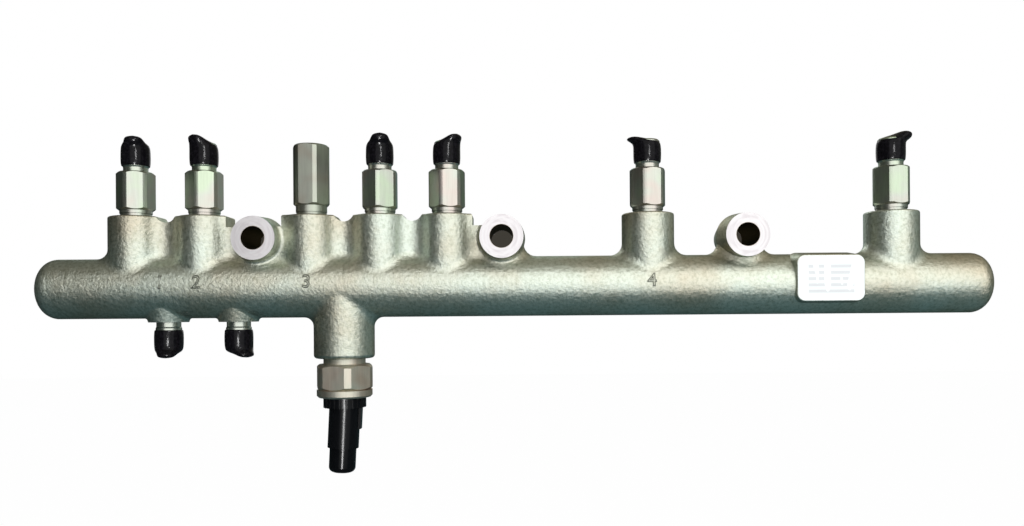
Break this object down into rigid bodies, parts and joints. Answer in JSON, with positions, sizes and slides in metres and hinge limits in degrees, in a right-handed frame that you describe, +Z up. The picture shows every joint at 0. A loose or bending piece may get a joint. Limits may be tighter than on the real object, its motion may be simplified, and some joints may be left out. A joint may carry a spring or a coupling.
{
  "type": "fuel rail",
  "caption": "Forged common-rail fuel accumulator with capped outlet fittings, a pressure limiter, a pressure sensor, mounting lugs and capped inlets.",
  "frame": {"origin": "centre of the middle mounting hole, at the rear seating face of its lug", "axes": "+X along the rail towards its plugged end, +Z up towards the outlets, +Y towards the engine, so the front with the label faces -Y"},
  "size_m": [0.5344, 0.0361, 0.1897],
  "materials": {
    "forging": "shot-blasted forged steel under a thin yellowish zinc coat, grainy and half matt",
    "zinc_steel": "machined steel, thin zinc coat, smooth with fine turning marks",
    "bare_steel": "ground steel",
    "spring_steel": "drawn spring wire",
    "black_vinyl": "soft dipped vinyl, glossy",
    "black_nylon": "moulded glass-filled plastic, half matt",
    "gloss_plug": "moulded plug, glossy",
    "label": "printed label, half matt",
    "board": "circuit board",
    "contact": "tinned brass"
  },
  "bodies": {
    "rail": {"rail_body": "forging", "bore_plug": "zinc_steel", "rating_label": "label", "flow_limiter_body_1": "zinc_steel", "flow_limiter_stop_1": "bare_steel", "flow_limiter_spring_1": "spring_steel", "outlet_cap_1": "black_vinyl", "flow_limiter_body_2": "zinc_steel", "flow_limiter_stop_2": "bare_steel", "flow_limiter_spring_2": "spring_steel", "outlet_cap_2": "black_vinyl", "flow_limiter_body_3": "zinc_steel", "flow_limiter_stop_3": "bare_steel", "flow_limiter_spring_3": "spring_steel", "outlet_cap_3": "black_vinyl", "flow_limiter_body_4": "zinc_steel", "flow_limiter_stop_4": "bare_steel", "flow_limiter_spring_4": "spring_steel", "outlet_cap_4": "black_vinyl", "flow_limiter_body_5": "zinc_steel", "flow_limiter_stop_5": "bare_steel", "flow_limiter_spring_5": "spring_steel", "outlet_cap_5": "black_vinyl", "flow_limiter_body_6": "zinc_steel", "flow_limiter_stop_6": "bare_steel", "flow_limiter_spring_6": "spring_steel", "outlet_cap_6": "black_vinyl", "limiter_body": "zinc_steel", "limiter_seat": "bare_steel", "limiter_spring": "spring_steel", "limiter_screw": "bare_steel", "sensor_body": "zinc_steel", "sensor_element": "bare_steel", "sensor_board": "board", "sensor_terminals": "contact", "sensor_connector": "black_nylon", "sensor_plug": "gloss_plug", "inlet_cap_1": "black_vinyl", "inlet_cap_2": "black_vinyl"},
    "flow_limiter_piston_1": {"flow_limiter_piston_1": "bare_steel"},
    "flow_limiter_piston_2": {"flow_limiter_piston_2": "bare_steel"},
    "flow_limiter_piston_3": {"flow_limiter_piston_3": "bare_steel"},
    "flow_limiter_piston_4": {"flow_limiter_piston_4": "bare_steel"},
    "flow_limiter_piston_5": {"flow_limiter_piston_5": "bare_steel"},
    "flow_limiter_piston_6": {"flow_limiter_piston_6": "bare_steel"},
    "limiter_valve": {"limiter_ball": "bare_steel", "limiter_guide": "bare_steel"}
  },
  "joints": [
    {"name": "flow_limiter_slide_1", "type": "slide", "parent": "rail", "child": "flow_limiter_piston_1", "axis": [0, 0, 1], "range_m": [0, 0.0032], "stiffness_N_per_m": 1500, "springref_m": -0.002, "deforming": ["flow_limiter_spring_1"]},
    {"name": "flow_limiter_slide_2", "type": "slide", "parent": "rail", "child": "flow_limiter_piston_2", "axis": [0, 0, 1], "range_m": [0, 0.0032], "stiffness_N_per_m": 1500, "springref_m": -0.002, "deforming": ["flow_limiter_spring_2"]},
    {"name": "flow_limiter_slide_3", "type": "slide", "parent": "rail", "child": "flow_limiter_piston_3", "axis": [0, 0, 1], "range_m": [0, 0.0032], "stiffness_N_per_m": 1500, "springref_m": -0.002, "deforming": ["flow_limiter_spring_3"]},
    {"name": "flow_limiter_slide_4", "type": "slide", "parent": "rail", "child": "flow_limiter_piston_4", "axis": [0, 0, 1], "range_m": [0, 0.0032], "stiffness_N_per_m": 1500, "springref_m": -0.002, "deforming": ["flow_limiter_spring_4"]},
    {"name": "flow_limiter_slide_5", "type": "slide", "parent": "rail", "child": "flow_limiter_piston_5", "axis": [0, 0, 1], "range_m": [0, 0.0032], "stiffness_N_per_m": 1500, "springref_m": -0.002, "deforming": ["flow_limiter_spring_5"]},
    {"name": "flow_limiter_slide_6", "type": "slide", "parent": "rail", "child": "flow_limiter_piston_6", "axis": [0, 0, 1], "range_m": [0, 0.0032], "stiffness_N_per_m": 1500, "springref_m": -0.002, "deforming": ["flow_limiter_spring_6"]},
    {"name": "limiter_slide", "type": "slide", "parent": "rail", "child": "limiter_valve", "axis": [0, 0, 1], "range_m": [0, 0.0008], "stiffness_N_per_m": 20000, "springref_m": -0.003, "deforming": ["limiter_spring"]}
  ]
}
